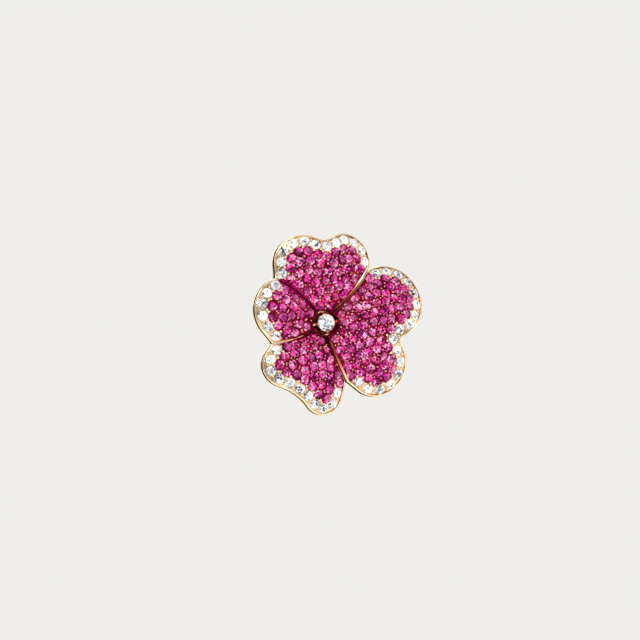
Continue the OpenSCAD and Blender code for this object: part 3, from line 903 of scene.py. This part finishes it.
def mark_tones(piece, petal, s):
    """Marks painted pink light and shade on a petal: by pink stones, in the well, at the shaded seams and in nooks."""
    # Heights from a stone's girdle: below is the petal's back, above is a rim
    back, bed_top = -0.95 * MM, 0.07 * MM
    fade, most_painted_glow = s.painted_glow_r * 0.5, 0.85
    seats = [(kind, *seat) for kind in ("pink", "white") for seat in stone_seats(f"{kind}_stones_{petal}")]
    tree = KDTree(len(seats))
    for k, seat in enumerate(seats):
        tree.insert(seat[1], k)
    tree.balance()
    seams = [(Vector(start) * MM, Vector(end) * MM, share) for start, end, share in SHADED_SEAMS]
    rose, nook = [], []
    for vertex in piece.data.vertices:
        kind, at, axis, size = seats[tree.find(vertex.co)[1]]
        off = vertex.co - at
        rise = off.dot(axis)
        bed = back < rise < bed_top and (off - axis * rise).length < size
        # Painted shade on the bed between white stones
        nook.append(s.bed_shade if bed and kind == "white" else 0.0)
        if rise <= back:
            rose.append(0.0)
            continue
        flat = Vector((vertex.co.x, vertex.co.z))
        # The shaded seams' rims take painted shade and pink reflection
        shares = [share for start, end, share in seams if distance(flat, start, end) < s.seam_shade]
        # Painted pink reflection along the rims, stronger towards the middle
        painted_glow = min(max((s.painted_glow_r - flat.length) / fade, 0.0), most_painted_glow)
        # Painted shade beneath the pink stones
        under_pink = 1.0 if bed and kind == "pink" else 0.0
        # Full painted shade in the well, elsewhere the strongest of these painted marks
        rose.append(1.0 if flat.length < s.well_r else max(under_pink, painted_glow, *shares))
    for name, shares in (("rose", rose), ("nook", nook)):
        piece.data.attributes.new(name, "FLOAT", "POINT").data.foreach_set("value", shares)


class EARRING_OT_petals(bpy.types.Operator):
    """Makes the four gold petals with rounded rims and a groove round the wall"""

    bl_idname = "earring.petals"
    bl_label = "Petals"

    def execute(self, context):
        s = context.scene.earring_petals
        # The second gold is darkened with painted shade, for the grooves
        golds = [bpy.data.materials[name] for name in ("polished_gold", "groove_shade_gold")]
        for petal in PETALS:
            node = "petal_" + petal
            piece = welded_copy(node, node + "_metal")
            dress(piece, "gold", [node], *golds)
            groove_wall(piece, s)
            round_edges(piece, 48, s.rim_round, 4, lambda e: sum(is_upright(f) for f in e.link_faces) == 1)
            mark_tones(piece, petal, s)
        return {"FINISHED"}


class EARRING_OT_stones(bpy.types.Operator):
    """Cuts the pink and white stones and sets them in their seats"""

    bl_idname = "earring.stones"
    bl_label = "Stones"

    def execute(self, context):
        s = context.scene.earring_stones
        chance = random.Random(s.seed)
        template = cut_stone("small_cut", mains=8)
        # Pink stones: painted shade below the body colour, painted highlights above, a painted dark girdle and a
        # painted sheen
        pink = stone_surface(
            "pink_glass",
            [
                (0.15, [c * 0.6 for c in s.pink_depth]), (0.31, s.pink_dark), (0.44, s.pink_body), (0.6, s.pink_bright),
                (0.75, (1.0, 0.05, 0.52)), (0.86, s.pink_lilac), (1.0, (1.0, 0.55, 0.82)),
            ],
            painted_rim=s.pink_depth, painted_sheen=s.pink_sheen, heart_shade=0.0, painted_glow=0.2, gloss=0.05, sectors=6, lean=1.0, spread=1.15,
        )
        # White stones: painted dark facets, white painted highlights, and painted reflections of the gold, at the
        # girdle too
        grey = [c * 0.48 for c in s.white_body]
        white_stops = [
            (0.04, s.white_depth), (0.16, [c * 4 for c in s.white_depth]), (0.26, grey), (0.36, (0.66, 0.7, 0.79)),
            (0.5, s.white_body), (0.66, (0.9, 0.93, 0.98)), (0.82, (1.0, 0.86, 0.62)), (0.94, (1.0, 1.0, 1.0)),
        ]
        white, middle = (
            stone_surface(
                name, white_stops, painted_rim=(0.5, 0.4, 0.28), painted_sheen=s.white_body, heart_shade=0.2, painted_glow=0.2, gloss=0.4,
                sectors=sectors, lean=lean, spread=0.9,
            )
            for name, sectors, lean in (("white_glass", 8, 0.4), ("middle_glass", 12, 0.2))
        )
        for petal in PETALS:
            for kind, glass in (("pink", pink), ("white", white)):
                node = f"{kind}_stones_{petal}"
                growth = s.growth if kind == "pink" else 1.0
                piece = set_stones(f"{kind}_cut_{petal}", template, stone_seats(node), growth, chance)
                dress(piece, f"{kind}_stone", [node], glass)
        large = cut_stone("large_cut", mains=8)
        chance = random.Random(s.centre_seed)
        piece = set_stones("centre_cut", large, stone_seats("centre_stone"), growth=0.98, chance=chance)
        dress(piece, "white_stone", ["centre_stone"], middle)
        for spare in (template, large):
            bpy.data.objects.remove(spare)
        return {"FINISHED"}


class EARRING_OT_beads(bpy.types.Operator):
    """Raises the beads of gold between the stones"""

    bl_idname = "earring.beads"
    bl_label = "Beads"

    def execute(self, context):
        s = context.scene.earring_beads
        template = bead("bead")
        for petal in PETALS:
            pinks, whites = (stone_seats(f"{kind}_stones_{petal}") for kind in ("pink", "white"))
            stones = [(at, axis, size / 2) for at, axis, size in pinks + whites]
            beads = []
            for at, axis, radius, among in bead_places(stones):
                drop = copied(template)
                inner = all(k < len(pinks) for k in among)
                radius *= 1 if inner else s.outer
                dome = radius * 1.1
                sizes = Matrix.Diagonal((radius, radius, dome, 1))
                drop.data.transform(Matrix.Translation(at + axis * (s.height - dome)) @ facing(axis) @ sizes)
                # Beads among the pink stones take gold tinted by their painted reflection
                drop.data.materials.append(bpy.data.materials["pink_lit_gold" if inner else "polished_gold"])
                beads.append(drop)
            piece = joined(beads, "beads_" + petal)
            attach(piece, "root")
        bpy.data.objects.remove(template)
        return {"FINISHED"}


class EARRING_OT_metal(bpy.types.Operator):
    """Mixes the five golds: polished, satin, two darkened by painted shade, and one tinted by a painted pink reflection
    """

    bl_idname = "earring.metal"
    bl_label = "Gold"

    def execute(self, context):
        s = context.scene.earring_metal
        # The satin frame gets painted shade in the well
        well_r = context.scene.earring_petals.well_r * 1.07
        metal("polished_gold", s.light, s.deep, rough=0.15, grain=0.12)
        metal("satin_gold", s.light, halfway(s.light, s.deep), rough=0.3, grain=0.5, well_r=well_r)
        # Gold darkened with painted shade, for the basket deep in the well
        metal("well_shade_gold", s.well_shade, s.shade, rough=0.2, grain=0.2)
        # Gold darkened with painted shade for the grooves, its reflections dimmed too
        metal("groove_shade_gold", s.groove, [c * 0.6 for c in s.groove], rough=0.25, grain=0.2, edge=s.groove)
        # Gold tinted by the pink stones' painted reflection, for beads and prongs
        metal("pink_lit_gold", s.rose, s.pink_light_tone, rough=0.16, grain=0.12)
        return {"FINISHED"}


def draw_on(move, centre, sizes):
    """Draws the selected face on by a move and scales it about a centre."""
    bpy.ops.mesh.extrude_region_move(TRANSFORM_OT_translate={"value": move})
    bpy.ops.transform.resize(value=sizes, center_override=centre)


def turned_shape(name, profile, sides):
    """A disc drawn up through rings, each given as its radius and height, and closed at both ends. Its axis is +Z."""
    deselect()
    (radius, height), *rings = profile
    bpy.ops.mesh.primitive_circle_add(vertices=sides, radius=radius, location=(0, 0, height), fill_type="NGON")
    piece = added(name)
    edit(piece, action="SELECT")
    for next_radius, next_height in rings:
        share = next_radius / radius
        draw_on((0, 0, next_height - height), (0, 0, next_height), (share, share, 1))
        radius, height = next_radius, next_height
    outwards(piece)
    return piece


def claw(name, s):
    """A prong: a round wire drawn up from the base, bent in over the stone and ended in a round tip."""
    deselect()
    foot = s.base + s.base_wall / 2
    bend_from = s.girdle + 0.15 * MM
    bend_round = Vector((s.wire_at - s.bend_r, 0, bend_from))
    bpy.ops.mesh.primitive_circle_add(vertices=14, radius=s.wire_r, location=(s.wire_at, 0, foot), fill_type="NGON")
    piece = added(name)
    edit(piece, action="SELECT")
    bpy.ops.mesh.extrude_region_move(TRANSFORM_OT_translate={"value": (0, 0, bend_from - foot)})
    bpy.ops.mesh.spin(steps=6, angle=s.bend, center=bend_round, axis=(0, -1, 0), use_auto_merge=False)
    ahead = Vector((-math.sin(s.bend), 0, math.cos(s.bend)))
    tip = bend_round + Vector((math.cos(s.bend), 0, math.sin(s.bend))) * s.bend_r
    reach, size, length = 0, 1, s.wire_r * 0.9
    for angle in (30, 55, 75):
        # The next ring of the round tip
        next_reach, next_size = math.sin(math.radians(angle)), math.cos(math.radians(angle))
        move = ahead * (next_reach - reach) * length
        tip += move
        draw_on(move, tip, [next_size / size] * 3)
        reach, size = next_reach, next_size
    outwards(piece)
    activate(piece)
    bpy.ops.object.shade_smooth()
    return piece


class EARRING_OT_centre(bpy.types.Operator):
    """Turns the basket for the middle stone and bends its prongs over the stone"""

    bl_idname = "earring.centre"
    bl_label = "Centre setting"

    def execute(self, context):
        s = context.scene.earring_centre
        floor = s.base + s.base_wall
        slant = (s.collar_r - s.bore_r) * 0.86
        basket = turned_shape(
            "centre_basket",
            [
                (s.peg_r, s.peg_end), (s.peg_r, s.base), (s.base_r, s.base), (s.base_r, floor), (s.collar_r, floor),
                (s.collar_r, s.collar_top), (s.bore_r, s.collar_top - slant), (s.bore_r, floor),
                (s.bore_r * 0.3, floor),
            ],
            sides=48,
        )
        round_edges(basket, degrees=35, width=0.06 * MM, segments=3)
        # The basket is gold darkened with painted shade
        basket.data.materials.append(bpy.data.materials["well_shade_gold"])
        first = claw("prong", s)
        # The prongs take gold tinted by the pink stones' painted reflection
        first.data.materials.append(bpy.data.materials["pink_lit_gold"])
        parts = [basket]
        for angle in (10, 100, 190, 280):
            prong = copied(first)
            prong.data.transform(Matrix.Rotation(math.radians(angle), 4, "Z"))
            parts.append(prong)
        bpy.data.objects.remove(first)
        basket = joined(parts, "centre_basket")
        basket.data.transform(Matrix.Rotation(math.radians(90), 4, "X"))
        dress(basket, "gold", ["centre_setting"])
        return {"FINISHED"}


class EARRING_OT_fittings(bpy.types.Operator):
    """Rounds the edges of the frame behind the petals and of the ear clip"""

    bl_idname = "earring.fittings"
    bl_label = "Frame and clip"

    def execute(self, context):
        for node, finish in (("back_frame", "satin_gold"), ("ear_clip", "polished_gold")):
            piece = welded_copy(node, node + "_metal")
            dress(piece, "gold", [node], bpy.data.materials[finish])
            round_edges(piece, degrees=40, width=0.12 * MM, segments=3)
        return {"FINISHED"}


class EARRING_PT_build(bpy.types.Panel):
    """Lists the steps of the build and their settings"""

    bl_label = "Flower earring"
    bl_space_type = "VIEW_3D"
    bl_region_type = "UI"
    bl_category = "Earring"

    def draw(self, context):
        for name, _, operators in STEPS:
            box = self.layout.box()
            for operator in operators:
                box.operator(operator.bl_idname)
            settings = getattr(context.scene, name)
            for prop in settings.__annotations__:
                box.prop(settings, prop)


STEPS = (
    ("earring_stage", StageSettings, (EARRING_OT_stage,)),
    ("earring_metal", MetalSettings, (EARRING_OT_metal,)),
    ("earring_petals", PetalSettings, (EARRING_OT_petals,)),
    ("earring_stones", StoneSettings, (EARRING_OT_stones,)),
    ("earring_beads", BeadSettings, (EARRING_OT_beads,)),
    ("earring_centre", CentreSettings, (EARRING_OT_centre, EARRING_OT_fittings)),
)
OPERATORS = [operator for _, _, operators in STEPS for operator in operators]
CLASSES = (*(group for _, group, _ in STEPS), *OPERATORS, EARRING_PT_build)


def register():
    for cls in CLASSES:
        bpy.utils.register_class(cls)
    for name, group, _ in STEPS:
        setattr(bpy.types.Scene, name, PointerProperty(type=group))


def unregister():
    for name, _, _ in STEPS:
        delattr(bpy.types.Scene, name)
    for cls in reversed(CLASSES):
        bpy.utils.unregister_class(cls)


def main():
    register()
    for operator in OPERATORS:
        group, name = operator.bl_idname.split(".")
        getattr(getattr(bpy.ops, group), name)()


if __name__ == "__main__":
    main()
